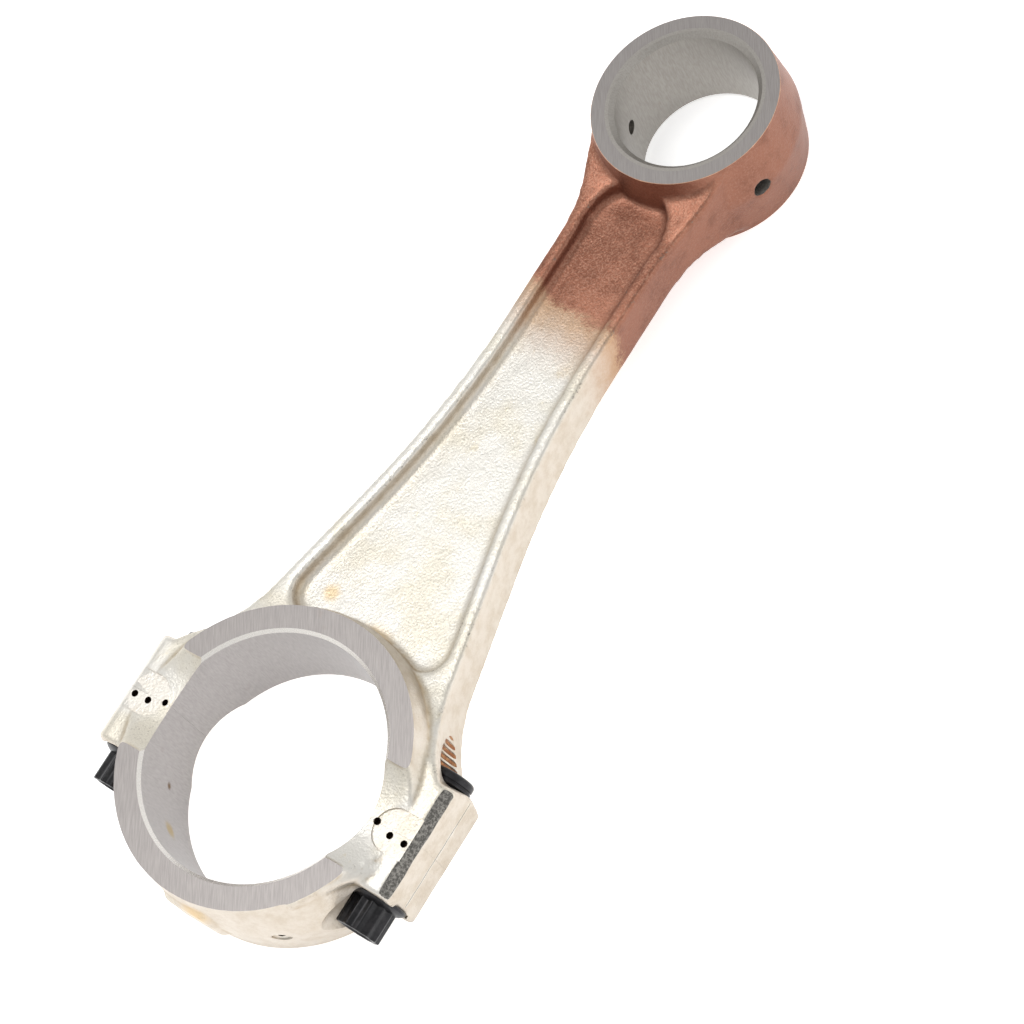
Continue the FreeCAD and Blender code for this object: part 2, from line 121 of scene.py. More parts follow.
def linear(code):
    """An sRGB hex colour as the linear RGBA that shaders use."""
    channels = [int(code[i : i + 2], 16) / 255 for i in (0, 2, 4)]
    return (*[c / 12.92 if c <= 0.04045 else ((c + 0.055) / 1.055) ** 2.4 for c in channels], 1.0)


def add(tree, kind, settings=None, **sockets):
    """Add a node; each socket takes a value or the output that feeds it."""
    node = tree.nodes.new("ShaderNode" + kind)
    for name, value in (settings or {}).items():
        setattr(node, name, value)
    for name, value in sockets.items():
        words = name.replace("_", " ")
        socket = node.inputs[int(name[1:])] if name[1:].isdigit() else node.inputs[words]
        if isinstance(value, bpy.types.NodeSocket):
            tree.links.new(value, socket)
        else:
            socket.default_value = value
    return node


def finish_material(name, display, metallic, roughness):
    """A material with its Principled shader; returns the material, its tree and the shader."""
    material = bpy.data.materials.new(name)
    material.use_nodes = True
    material.diffuse_color = linear(display)
    tree = material.node_tree
    shader = tree.nodes["Principled BSDF"]
    shader.inputs["Base Color"].default_value = linear(display)
    shader.inputs["Metallic"].default_value = metallic
    shader.inputs["Roughness"].default_value = roughness
    return material, tree, shader


def ramp(tree, value, low, high):
    """Turn a value between low and high into a soft 0 to 1 mask."""
    settings = {"interpolation_type": "SMOOTHSTEP"}
    node = add(tree, "MapRange", settings, Value=value)
    node.inputs["From Min"].default_value = low
    node.inputs["From Max"].default_value = high
    return node.outputs[0]


def mix(tree, mask, first, second):
    """Blend two colours, or the outputs that carry them, by a mask."""
    node = add(tree, "Mix", {"data_type": "RGBA"}, i0=mask)
    for socket, value in ((node.inputs[6], first), (node.inputs[7], second)):
        if isinstance(value, bpy.types.NodeSocket):
            tree.links.new(value, socket)
        else:
            socket.default_value = linear(value)
    return node.outputs[2]


def grain(tree, place, size_mm, detail=3.0, roughness=0.6):
    """Noise whose blotches are about size_mm across."""
    node = add(tree, "TexNoise", None, Vector=place, Scale=1 / (size_mm * MM), Detail=detail)
    node.inputs["Roughness"].default_value = roughness
    return node.outputs["Fac"]


def spot(tree, place, centre, inner, outer):
    """A round soft mark: 1 at its centre in mm, falling to 0 between two radii in mm."""
    centre = tuple(value * MM for value in centre)
    reach = add(tree, "VectorMath", {"operation": "DISTANCE"}, i0=place, i1=centre).outputs["Value"]
    wobble = math_node(tree, "MULTIPLY", grain(tree, place, outer * 0.8, 3.0), outer * 0.6 * MM)
    return ramp(tree, math_node(tree, "ADD", reach, wobble), outer * 1.3 * MM, (inner + outer * 0.3) * MM)


def math_node(tree, operation, first, second):
    """One step of arithmetic between two values or outputs."""
    return add(tree, "Math", {"operation": operation}, i0=first, i1=second).outputs[0]


print("half grey, 808080, is %.3f in linear light" % linear("808080")[0])

# %% [markdown]
# ## The plated forging
#
# The blank is a steel drop forging, shot blasted and then plated: bright tin over nearly all of it, and bare
# copper on the small end and the neck, where the tin bath did not reach. Shot blasting leaves a skin of
# shallow dents about a millimetre across, so the metal looks satin and sparkles a little. They are drawn a
# little coarser than real ones, so that they still show, and grey specks painted into the tin stand in for
# their shade. One mask follows the rod's length and splits the tin from the copper with a ragged brown
# border.
# Three more are stored on the mesh while it is made: wear on its edges, a brown tint in corners that is
# partly a stain where the bath dries and partly painted shade, and painted shade on the walls that face
# sideways.

# %% Material: plated forging
COPPER_START = 184.5  # mm from the big end's centre, at the middle of the web
COPPER_SLANT = 0.14  # the border lies further out on the left rail than on the right one
COPPER_TILT = 0.3  # and further out on the front of the rod than on its back
RAGGED = 8.0  # mm that large blotches move the border, and
FRAYED = 10.0  # mm that the fine skin moves it
BORDER_SHIFT = 4.0  # mm that both move it on average
BORDER = 5.0  # mm over which the tin thins out to nothing
BLUSH = 24.0  # mm of tin beside the border that the copper shows through
SKIN_MM = 0.7  # sizes of the blasted skin, the clouds and the patches
CLOUD_MM = 24.0
PATCH_MM = 6.0
DENT_MM = 0.8
DENT_DEPTH = 0.13
# Three rust-coloured marks; the one on the cap's crown is painted shade beside the crown's middle.
YELLOW_MARKS = (((60.2, 20.7, 4.0), 1.0, 5.0), ((51.7, -2.9, 6.0), 2.0, 9.0), ((-53.7, -4.7, 8.0), 1.0, 7.0))


def tin_colour(tree, place, skin, cloud, patch, side_shade, brown_tint):
    """Tin plate: yellower in patches, darker on its sides as painted shade, with a few rust-coloured marks.
    """
    tin = mix(tree, ramp(tree, cloud, 0.42, 0.62), "DFDCD5", "DCD6C8")
    tin = mix(tree, ramp(tree, patch, 0.6, 0.8), tin, "D8CEB6")
    # Painted shade: grey specks in the tin stand in for the shade of the blasted dents.
    painted_dent_shade = math_node(tree, "MULTIPLY", ramp(tree, skin, 0.52, 0.7), ramp(tree, cloud, 0.4, 0.6))
    tin = mix(tree, painted_dent_shade, tin, "BDB7AB")
    # Painted shade: the tin turns greyer and browner on the walls that face sideways.
    side = mix(tree, ramp(tree, patch, 0.35, 0.7), "CFC6BA", "C2B6A6")
    tin = mix(tree, side_shade, tin, side)
    for centre, inner, outer in YELLOW_MARKS:
        mark = math_node(tree, "MULTIPLY", spot(tree, place, centre, inner, outer), 0.6)
        tin = mix(tree, mark, tin, "D9B779")
    # Inside corners turn yellow-brown: partly a stain, partly painted shade.
    return mix(tree, brown_tint, tin, "A3895A")


def copper_colour(tree, skin, cloud, patch, side_shade, brown_tint):
    """Copper plate: two browns in clouds, rubbed lighter on the skin and darker in patches and corners."""
    copper = mix(tree, ramp(tree, cloud, 0.35, 0.65), "A5705A", "8B5B48")
    copper = mix(tree, ramp(tree, skin, 0.42, 0.68), copper, "B78873")
    # Painted shade: the copper turns darker on the walls that face sideways.
    copper = mix(tree, math_node(tree, "MULTIPLY", side_shade, 0.6), copper, "7E5444")
    copper = mix(tree, math_node(tree, "MULTIPLY", ramp(tree, patch, 0.48, 0.74), 0.5), copper, "6F4737")
    # Inside corners turn dark brown: partly a stain, partly painted shade.
    return mix(tree, brown_tint, copper, "55352A")


def plated_forging():
    """The finish of both forgings, with the tin and the copper and the border between them."""
    material, tree, shader = finish_material("tin_and_copper_plated_forging", "E4E0D6", 0.85, 0.42)
    place = add(tree, "TexCoord").outputs["Object"]
    parts = add(tree, "SeparateXYZ", None, Vector=place)
    wear = add(tree, "Attribute", {"attribute_name": "wear"}).outputs["Fac"]
    # The corner mask is partly a stain and partly painted shade; the side mask is painted shade.
    brown_tint = add(tree, "Attribute", {"attribute_name": "brown_tint"}).outputs["Fac"]
    side_shade = add(tree, "Attribute", {"attribute_name": "side_shade"}).outputs["Fac"]
    skin = grain(tree, place, SKIN_MM, 4.0, 0.7)
    cloud = grain(tree, place, CLOUD_MM, 2.0)
    patch = grain(tree, place, PATCH_MM, 4.0, 0.7)
    tin = tin_colour(tree, place, skin, cloud, patch, side_shade, brown_tint)
    copper = copper_colour(tree, skin, cloud, patch, side_shade, brown_tint)

    along = parts.outputs["X"]
    leans = (
        (parts.outputs["Y"], -COPPER_SLANT),
        (parts.outputs["Z"], -COPPER_TILT),
        (patch, RAGGED * MM),
        (skin, FRAYED * MM),
    )
    for source, share in leans:
        along = math_node(tree, "ADD", along, math_node(tree, "MULTIPLY", source, share))
    start = (COPPER_START + BORDER_SHIFT) * MM
    blush = math_node(tree, "MULTIPLY", ramp(tree, along, start - BLUSH * MM, start + BORDER * MM), 0.85)
    plating = mix(tree, blush, tin, "B48B66")
    plating = mix(tree, ramp(tree, along, start, start + BORDER * MM), plating, copper)
    speck = math_node(tree, "MULTIPLY", ramp(tree, grain(tree, place, 0.8, 2.0), 0.55, 0.62), wear)
    speck = math_node(tree, "MULTIPLY", speck, ramp(tree, patch, 0.5, 0.62))
    tree.links.new(mix(tree, speck, plating, "7C756C"), shader.inputs["Base Color"])

    rough = add(tree, "MapRange", None, Value=skin)
    rough.inputs["To Min"].default_value = 0.3
    rough.inputs["To Max"].default_value = 0.56
    tree.links.new(rough.outputs[0], shader.inputs["Roughness"])
    dents = add(tree, "TexVoronoi", {"feature": "SMOOTH_F1"}, Vector=place, Scale=1 / (DENT_MM * MM))
    height = math_node(tree, "ADD", skin, math_node(tree, "MULTIPLY", dents.outputs["Distance"], 0.8))
    bump = add(tree, "Bump", None, Strength=0.8, Distance=DENT_DEPTH * MM, Height=height)
    tree.links.new(bump.outputs[0], shader.inputs["Normal"])
    return material


forging_skin = plated_forging()
print(forging_skin.name, "is made of", len(forging_skin.node_tree.nodes), "nodes")

# %% [markdown]
# ## The machined faces
#
# After plating, a face mill takes the four end faces down to bare steel and leaves fine lines across them.
# The bores are honed to a soft grey, and chamfers, drillings and the rim of the small end are cut the same
# way.
# One recipe makes them all: noise stretched along the tool's path, in a colour for each. Some of these
# colours
# are painted light: the chamfers are near white as a painted highlight, the small end's rim is bright copper
# as a painted highlight, and the drilled holes are dark brown as painted shade. Real lines are finer than the
# eye can follow, so they are drawn coarser, about 0.3 to 0.5 mm apart.

# %% Material: machined steel
TOOL_CLOUD_MM = 14.0
TOOL_DEPTH = 0.02  # mm
FACE_TURN = 34  # degrees that the milling lines lie off the rod's length


def machined_steel(name, colour, shade, stretch, line_mm, roughness, marks=(), turn=0):
    """Bare steel with tool lines, drawn out by a stretch along X, Y and Z and turned by some degrees."""
    material, tree, shader = finish_material(name, colour, 0.85, roughness)
    place = add(tree, "TexCoord").outputs["Object"]
    stretched = add(tree, "Mapping", {"vector_type": "TEXTURE"}, Vector=place, Scale=stretch)
    stretched.inputs["Rotation"].default_value = (0.0, 0.0, math.radians(turn))
    lines = grain(tree, stretched.outputs[0], line_mm, 4.0)
    cloud = grain(tree, place, TOOL_CLOUD_MM, 3.0)
    tone = mix(tree, ramp(tree, lines, 0.3, 0.7), colour, shade)
    tone = mix(tree, ramp(tree, cloud, 0.66, 0.9), tone, "8D8076")
    for centre, inner, outer, brown_tint in marks:
        tone = mix(tree, spot(tree, place, centre, inner, outer), tone, brown_tint)
    tree.links.new(tone, shader.inputs["Base Color"])
    rough = add(tree, "MapRange", None, Value=lines)
    rough.inputs["To Min"].default_value = roughness - 0.06
    rough.inputs["To Max"].default_value = roughness + 0.08
    tree.links.new(rough.outputs[0], shader.inputs["Roughness"])
    bump = add(tree, "Bump", None, Strength=0.25, Distance=TOOL_DEPTH * MM, Height=lines)
    tree.links.new(bump.outputs[0], shader.inputs["Normal"])
    return material


BORE_MARKS = (((-21.5, 37.3, -2.5), 0.2, 1.8, "6B5236"), ((-33.9, 26.6, -0.9), 1.0, 4.2, "A8946C"))
EVEN = (1.0, 1.0, 1.0)
ALONG_BORE = (1.0, 1.0, 7.0)
LONG_LINES = (24.0, 1.0, 1.0)
SHORT_LINES = (4.0, 1.0, 1.0)
ACROSS = (1.0, 10.0, 1.0)
face_steel = machined_steel("milled_steel_face", "A19C99", "928D8B", LONG_LINES, 0.3, 0.45, (), FACE_TURN)
eye_steel = machined_steel("milled_small_end_face", "A7A59E", "9D9B93", SHORT_LINES, 0.3, 0.5, (), FACE_TURN)
bore_steel = machined_steel("honed_bore", "AFAAA8", "A39E9C", ALONG_BORE, 0.4, 0.4, BORE_MARKS)
bush_metal = machined_steel("bored_bush_metal", "A8A49E", "9C9791", ALONG_BORE, 0.5, 0.4)
# The chamfers are near white: a painted highlight on the same steel as the bore.
chamfer_highlight_steel = machined_steel("turned_chamfer_painted_highlight", "F4F1EC", "E6E1DA", EVEN, 0.4, 0.25)
# The drilled holes are dark brown: painted shade inside the recesses.
shaded_hole_steel = machined_steel("drilled_hole_wall_painted_shade", "4A3A30", "33261F", EVEN, 0.6, 0.6)
# The small end's broken rim is bright copper as a painted highlight.
copper_rim_highlight = machined_steel("copper_rim_painted_highlight", "E0B79A", "C9987C", EVEN, 1.2, 0.3)
drilled_port = machined_steel("drilled_oil_port", "8D8984", "6E6A66", EVEN, 0.8, 0.4)
joint_steel = machined_steel("ground_joint_face", "C0BAB4", "B4AEA8", ACROSS, 0.4, 0.4)
for material in (face_steel, eye_steel, bore_steel, bush_metal, chamfer_highlight_steel, shaded_hole_steel, joint_steel):
    print("machined finish:", material.name)

# %% [markdown]
# ## Copper-stained pocket, bare strip and black oxide
#
# The pocket that clears each bolt head is cut before plating. Its wall swells at an even pitch, and only the
# swells hold a thin copper flash. One lug has a bevel linished back to the dark mill scale. Bolts and nuts
# are hot blackened, which leaves a deep black with a soft oily gleam.

# %% Material: pocket, bare strip and black oxide


def mottled(name, colours, metallic, roughness, blotch_mm, bump_mm):
    """A finish of two tones in small blotches."""
    material, tree, shader = finish_material(name, colours[0], metallic, roughness)
    place = add(tree, "TexCoord").outputs["Object"]
    blotch = grain(tree, place, blotch_mm, 4.0, 0.7)
    tree.links.new(mix(tree, ramp(tree, blotch, 0.42, 0.62), *colours), shader.inputs["Base Color"])
    rough = add(tree, "MapRange", None, Value=blotch)
    rough.inputs["To Min"].default_value = roughness - 0.08
    rough.inputs["To Max"].default_value = roughness + 0.08
    tree.links.new(rough.outputs[0], shader.inputs["Roughness"])
    bump = add(tree, "Bump", None, Strength=0.4, Distance=bump_mm * MM, Height=blotch)
    tree.links.new(bump.outputs[0], shader.inputs["Normal"])
    return material


pocket_copper = mottled("copper_flashed_pocket", ("8A5A3C", "A87C55"), 0.8, 0.45, 1.5, 0.05)
bare_strip = mottled("linished_mill_scale", ("55534F", "8F8C86"), 0.6, 0.5, 1.1, 0.1)
black_oxide = mottled("black_oxide_steel", ("1D1D1F", "2A292B"), 0.55, 0.36, 2.5, 0.02)
print("mottled finishes:", pocket_copper.name, bare_strip.name, black_oxide.name)

# %% [markdown]
# ## Turned shapes
#
# Anything made on a lathe or with a drill is a profile spun round an axis. The profile is a list of radius
# and height in millimetres, and each of its stretches can carry a finish of its own. The same helper makes
# bolts and the cutters that machine the forgings: when a cutter is subtracted, its finish stays on the new
# face.

# %% Turning helper
ALONG_X = Matrix.Rotation(math.radians(90), 4, "Y")
ALONG_Y = Matrix.Rotation(math.radians(-90), 4, "X")


def at(x, y, z, turn=Matrix.Identity(4)):
    """A place in millimetres, with a turn before it."""
    return Matrix.Translation(Vector((x, y, z)) * MM) @ turn


def turned(profile, place, finishes=(), steps=128):
    """Spin a profile; finishes gives a material number for each of its stretches."""
    bm = bmesh.new()
    points = [Vector((radius, 0, height)) * MM for radius, height in profile]
    rim = [bm.verts.new(point) for point in points]
    line = [bm.edges.new(pair) for pair in zip(rim, rim[1:])]
    bmesh.ops.spin(
        bm,
        geom=rim + line,
        cent=(0, 0, 0),
        axis=(0, 0, 1),
        angle=2 * math.pi,
        steps=steps,
        use_merge=True,
    )
    bmesh.ops.remove_doubles(bm, verts=bm.verts, dist=0.001 * MM)
    bmesh.ops.recalc_face_normals(bm, faces=bm.faces)
    middles = [(a + b) / 2 for a, b in zip(points, points[1:])]
    for face in bm.faces:
        radii = [vert.co.xy.length for vert in face.verts]
        heights = [vert.co.z for vert in face.verts]
        middle = Vector(((max(radii) + min(radii)) / 2, 0, (max(heights) + min(heights)) / 2))
        stretch = min(range(len(middles)), key=lambda n: (middles[n] - middle).length)
        face.material_index = finishes[stretch] if finishes else 0
    bmesh.ops.transform(bm, matrix=place, verts=bm.verts)
    return bm


def block(low, high):
    """A box between two corners, in millimetres."""
    bm = bmesh.new()
    low, high = Vector(low) * MM, Vector(high) * MM
    size = Matrix.Diagonal((*(high - low), 1.0))
    bmesh.ops.create_cube(bm, size=1.0, matrix=Matrix.Translation((low + high) / 2) @ size)
    return bm


def as_object(name, bm, finishes=()):
    """Put a bmesh into the scene as an object with its finishes."""
    mesh = bpy.data.meshes.new(name)
    bm.to_mesh(mesh)
    bm.free()
    for finish in finishes:
        mesh.materials.append(finish)
    piece = bpy.data.objects.new(name, mesh)
    scene.collection.objects.link(piece)
    return piece


def settle(piece):
    """Apply a piece's modifiers to its mesh."""
    view = bpy.context.evaluated_depsgraph_get()
    view.update()
    mesh = bpy.data.meshes.new_from_object(piece.evaluated_get(view), depsgraph=view)
    piece.modifiers.clear()
    piece.data = mesh


def discard(*pieces):
    """Take tools that have done their work out of the scene."""
    for piece in pieces:
        bpy.data.objects.remove(piece)


def join(target, *others):
    """Merge other bmeshes into target, as loose shells of one mesh."""
    for other in others:
        mesh = bpy.data.meshes.new("loose")
        other.to_mesh(mesh)
        other.free()
        target.from_mesh(mesh)
        bpy.data.meshes.remove(mesh)
    return target


def carve(piece, cutters, operation="DIFFERENCE"):
    """Cut a piece with each cutter in turn, keeping the cutters' finishes on the new faces."""
    for cutter in cutters:
        step = piece.modifiers.new(cutter.name, "BOOLEAN")
        step.operation = operation
        step.solver = "MANIFOLD"
        step.material_mode = "TRANSFER"
        step.object = cutter
    settle(piece)


# %% [markdown]
# ## The cutters
#
# Each cutter is the shape a tool sweeps: the boring bar with its two chamfers, drills, the hollow mill that
# makes a pocket for each bolt head and leaves a swelling wall, and the flat mills that face the ends. Three
# finer ones follow them: a linishing belt on one lug's bevel, the trimming die's line along the lug's side,
# and a deburring cone on the rim of each small end face.

# %% Sizes of the machined features, in mm
BIG_CHAMFER = 1.15
STOCK = 2.5  # metal left on a face until it is machined
REACH = 3.0  # how far a cutter runs past the metal
FAR = 80.0  # past the metal on every side of the big end
SWEEP = 400.0  # length of the flat mills' cut
RELIEF_RADIUS = 35.0
RELIEF_LEVEL = 13.8
PAD_LEVEL = 13.4
PAD_HALF = 7.5
PAD_CENTRE = 53.0
BEVEL_START = 60.0  # how far out the flat front of a lug reaches before its bevel
LUG_SIDE = 63.3
LUG_FRONT = 14.0
BELT_LENGTH = 19.5  # half the length of the belt's run
BELT_SKIM = 0.3
DOT_RADIUS = 1.25
DOT_DEPTH = 2.5
DOTS = ((0.2, 46.0), (-1.8, 52.4), (-1.95, 58.3))
JOINT_GAP = 0.02  # half the hairline that shows where rod and cap meet
HOLE_RADIUS = 5.25
SLEEVE_RADIUS = (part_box("sleeve_left")[1].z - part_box("sleeve_left")[0].z) / 2 / MM
SLEEVE_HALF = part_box("sleeve_left")[1].x / MM
BOLT_SEAT = 22.5
HEAD_POCKET = 8.4
RIB_PITCH = 2.1
RIB_DEPTH = 0.35
POCKET_END = 45.0
NUT_SEAT = -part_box("nut_left")[1].x / MM
NUT_POCKET = 11.0
OIL_ANGLE = 109.5
OIL_RADIUS = 2.6
OIL_START = 10.0
OIL_MOUTH = 3.7
OIL_SINK_DEPTH = 3.0
OIL_SINK_SLOPE = (OIL_MOUTH - OIL_RADIUS) / OIL_SINK_DEPTH
EYE_RADIUS = 35.9
EYE_FACE = 33.5
EYE_BREAK = 0.3
RIM_LAP = 0.4  # how far inside the eye's rim the deburring cone starts
SLEEVE_PLAY = 0.03
SEAT_DEEPER = 0.5
CROWN_ANGLE = 214.0
CROWN_LOW = -2.0  # the crown's drilling lies this far off mid width
CROWN_DRILL = 1.25
CROWN_DRILL_START = 48.0
CROWN_SPOT = 3.4
CROWN_SPOT_START = 53.6
BELT_HALF = 2.3
BELT_CORNER = 1.6
BEVEL_ANGLE = 45.0
TRIM_LINE = ((-21.0, -0.5), (22.0, -0.25))  # its corners along the rod and through it
TRIM_DEPTH = 0.12


def ribbed_cutter(axis):
    """The hollow mill for a head pocket: its wall swells at the rib pitch, and only the swells are copper."""
    profile = [(0.0, BOLT_SEAT), (HEAD_POCKET, BOLT_SEAT)]
    finishes = [0, 0]
    count = int((POCKET_END - BOLT_SEAT) / RIB_PITCH)
    for rib in range(count):
        low = BOLT_SEAT + 1.0 + rib * RIB_PITCH
        for share, swell in ((0.0, 0.0), (0.2, 1.0), (0.55, 1.0), (0.75, 0.0)):
            profile.append((HEAD_POCKET + RIB_DEPTH * swell, low + share * RIB_PITCH))
        finishes += [0, 0, 1, 1]
    profile += [(HEAD_POCKET, POCKET_END), (0.0, POCKET_END)]
    finishes.append(0)
    return as_object("head_pocket", turned(profile, axis, finishes, 64), (pocket_copper, forging_skin))


def bore_cutter(name, radius, chamfer, x, wall, rim):
    """A boring bar with a chamfer at each end of its cut."""
    wide = radius + chamfer + REACH
    profile = [
        (0.0, -half_width - REACH),
        (wide, -half_width - REACH),
        (radius, -half_width + chamfer),
        (radius, half_width - chamfer),
        (wide, half_width + REACH),
        (0.0, half_width + REACH),
    ]
    return as_object(name, turned(profile, at(x, 0, 0), (0, 1, 0, 1, 0), 192), (wall, rim))


def drill(name, radius, start, end, place, finish, steps=48):
    """A straight round cutter with one finish."""
    profile = [(0.0, start), (radius, start), (radius, end), (0.0, end)]
    return as_object(name, turned(profile, place, (), steps), (finish,))


def pad_and_dots(side, face):
    """The cutter for one numbering pad and the three drilled dots in it."""
    depth = RELIEF_LEVEL + REACH
    round_end = [(0.0, PAD_LEVEL), (PAD_HALF, PAD_LEVEL), (PAD_HALF, depth), (0.0, depth)]
    pads = [
        block((-PAD_HALF, PAD_CENTRE, PAD_LEVEL), (PAD_HALF, FAR, depth)),
        turned(round_end, at(0, PAD_CENTRE, 0)),
    ]
    flip = Matrix.Diagonal((1, side, face, 1))
    cutters = []
    for number, bm in enumerate(pads):
        bmesh.ops.transform(bm, matrix=flip, verts=bm.verts)
        bmesh.ops.recalc_face_normals(bm, faces=bm.faces)
        cutters.append(as_object("pad%d" % number, bm, (forging_skin,)))
    for x, y in DOTS:
        start, end = sorted((face * (PAD_LEVEL - DOT_DEPTH), face * depth))
        cutters.append(drill("dot", DOT_RADIUS, start, end, at(x, side * y, 0), shaded_hole_steel, 24))
    return cutters


def upright_edges(bm):
    """The edges of a prism that stand along its axis."""
    return [edge for edge in bm.edges if abs(edge.verts[0].co.z - edge.verts[1].co.z) > MM]


def round_over(bm, edges, size, segments):
    """Break edges by a size in mm."""
    bmesh.ops.bevel(
        bm, geom=edges, offset=size * MM, segments=segments, profile=0.5, affect="EDGES", material=-1
    )


def linishing_belt():
    """A belt run along the front bevel of the right lug, which skims it down to the mill scale."""
    bm = block((-BELT_LENGTH, -BELT_HALF, -BELT_SKIM), (BELT_LENGTH, BELT_HALF, REACH))
    round_over(bm, upright_edges(bm), BELT_CORNER, 5)
    middle = BEVEL_START + (LUG_SIDE - BEVEL_START) / 2
    tilt = Matrix.Rotation(math.radians(BEVEL_ANGLE), 4, "X")
    bmesh.ops.transform(bm, matrix=at(0, -middle, LUG_FRONT - middle + BEVEL_START, tilt), verts=bm.verts)
    return as_object("linishing_belt", bm, (bare_strip,))


def deburring_ring(face):
    """A cone that breaks the outer edge of the small end's face; its cut is bright copper, a painted
    highlight.
    """
    rim = EYE_FACE - RIM_LAP
    reach = REACH + EYE_BREAK
    profile = [
        (rim, face * (half_width + EYE_BREAK)),
        (rim + 2 * reach, face * (half_width + EYE_BREAK)),
        (rim + 2 * reach, face * (half_width + EYE_BREAK - 2 * reach)),
        (rim, face * (half_width + EYE_BREAK)),
    ]
    cone = turned(profile, at(centre_distance, 0, 0), (), 128)
    return as_object("deburring_ring", cone, (copper_rim_highlight,))


def flat_mill(name, low, high):
    """A mill that takes everything between two levels off the whole rod."""
    return as_object(name, block((-FAR, -FAR, low), (-FAR + SWEEP, FAR, high)), (face_steel,))


# %% Make the cutters
flat_mills = [
    flat_mill("front_mill", half_width, half_width + FAR),
    flat_mill("back_mill", -half_width - FAR, -half_width),
]
boring_bar = bore_cutter("boring_bar", big_bore, BIG_CHAMFER, 0, bore_steel, chamfer_highlight_steel)
joint_cutters = []
for side in (-1, 1):
    for face in (-1, 1):
        joint_cutters += pad_and_dots(side, face)
    axis = at(0, side * bolt_offset, 0, ALONG_X)
    joint_cutters.append(drill("bolt_hole", HOLE_RADIUS, -FAR, FAR, axis, shaded_hole_steel))
    seat = SLEEVE_HALF + SEAT_DEEPER
    sleeve_seat = drill("sleeve_seat", SLEEVE_RADIUS + SLEEVE_PLAY, -seat, seat, axis, joint_steel)
    joint_cutters.append(sleeve_seat)
joint_cutters.append(linishing_belt())
(trim_start, trim_low), (trim_end, trim_high) = TRIM_LINE
trim = block((trim_start, -FAR, trim_low), (trim_end, -LUG_SIDE + TRIM_DEPTH, trim_high))
joint_cutters.append(as_object("trim_line", trim, (bare_strip,)))
rod_cutters = [deburring_ring(face) for face in (-1, 1)]
rod_cutters += [
    as_object("joint_mill", block((-FAR, -FAR, -FAR), (JOINT_GAP, FAR, FAR)), (joint_steel,)),
    drill("bush_seat", bush_outer, -FAR, FAR, at(centre_distance, 0, 0), eye_steel, 128),
]
cap_cutters = [as_object("joint_mill", block((-JOINT_GAP, -FAR, -FAR), (FAR, FAR, FAR)), (joint_steel,))]
for side in (-1, 1):
    axis = at(0, side * bolt_offset, 0, ALONG_X)
    rod_cutters.append(ribbed_cutter(axis))
    cap_cutters.append(drill("nut_pocket", NUT_POCKET, -FAR, -NUT_SEAT, axis, forging_skin, 96))
    spoke = at(centre_distance, 0, 0, Matrix.Rotation(math.radians(side * OIL_ANGLE), 4, "Z") @ ALONG_X)
    mouth = EYE_RADIUS + REACH
    oil_profile = [
        (0.0, OIL_START),
        (OIL_RADIUS, OIL_START),
        (OIL_RADIUS, EYE_RADIUS - OIL_SINK_DEPTH),
        (OIL_MOUTH + OIL_SINK_SLOPE * REACH, mouth),
        (0.0, mouth),
    ]
    rod_cutters.append(as_object("oil_drill", turned(oil_profile, spoke, (), 48), (drilled_port,)))
crown_spoke = at(0, 0, CROWN_LOW, Matrix.Rotation(math.radians(CROWN_ANGLE), 4, "Z") @ ALONG_X)
crown_drill = drill("crown_drill", CROWN_DRILL, CROWN_DRILL_START, FAR, crown_spoke, shaded_hole_steel, 32)
crown_spot = drill("crown_spot", CROWN_SPOT, CROWN_SPOT_START, FAR, crown_spoke, forging_skin, 48)
cap_cutters += [crown_drill, crown_spot]
print(len(flat_mills) + 1, "cutters for both faces and the bore,", len(joint_cutters), "across the joint")
print(len(rod_cutters), "for the rod and", len(cap_cutters), "for the cap")

# %% [markdown]
# ## The soft blanks
#
# A forging has no sharp edge: the dies are rounded so that hot metal can flow. The blank is a copy of the
# frame's own shape with stock added on every face that will be machined and its bores filled in. A voxel
# remesh turns that into one even skin, a few rounds of smoothing melt its edges and fill its corners, and a
# little noise gives it the unevenness of hammered metal. How far each point moved while it was smoothed says
# whether it lies on an edge or in a corner, and that is stored for the material.

# %% Blank helpers
VOXEL = 0.85
SMOOTHING = 7
UNEVEN = 0.07
COARSE_WAVE = 7.0
FINE_WAVE = 2.6
FINE_SHARE = 0.6
TRIANGLES = 150000
FILL_LAP = 0.4  # how far a filling runs into the metal round it
WEAR = (3.0, -0.25)  # how much a melted edge counts, and what is taken off
# How much an inside corner counts for its tint, a stain deepened as painted shade, and what is taken off.
STAIN_AND_SHADE = (-2.4, -0.1)
# Painted shade on the sides: the mask grows as a face turns away from the end faces.
SIDE_SHADE = (-1.9, 1.6)
CREASE = math.radians(38)


def merged_copy(node):
    """A copy of one of the frame's shapes, with its loose corners welded."""
    bm = bmesh.new()
    bm.from_mesh(frame["nodes"][node].data)
    bmesh.ops.remove_doubles(bm, verts=bm.verts, dist=0.0005 * MM)
    bmesh.ops.dissolve_degenerate(bm, edges=bm.edges, dist=0.0001 * MM)
    return bm


def add_stock(bm, axis, level, out):
    """Grow the flat faces that lie at a level along an axis outwards by the stock."""
    faces = []
    for face in bm.faces:
        flat = abs(face.normal[axis]) > 0.999 and face.normal[axis] * out > 0
        if flat and all(abs(vert.co[axis] - level * MM) < 0.01 * MM for vert in face.verts):
            faces.append(face)
    grown = bmesh.ops.extrude_face_region(bm, geom=faces)
    verts = [item for item in grown["geom"] if isinstance(item, bmesh.types.BMVert)]
    move = Vector()
    move[axis] = out * STOCK * MM
    bmesh.ops.translate(bm, verts=verts, vec=move)


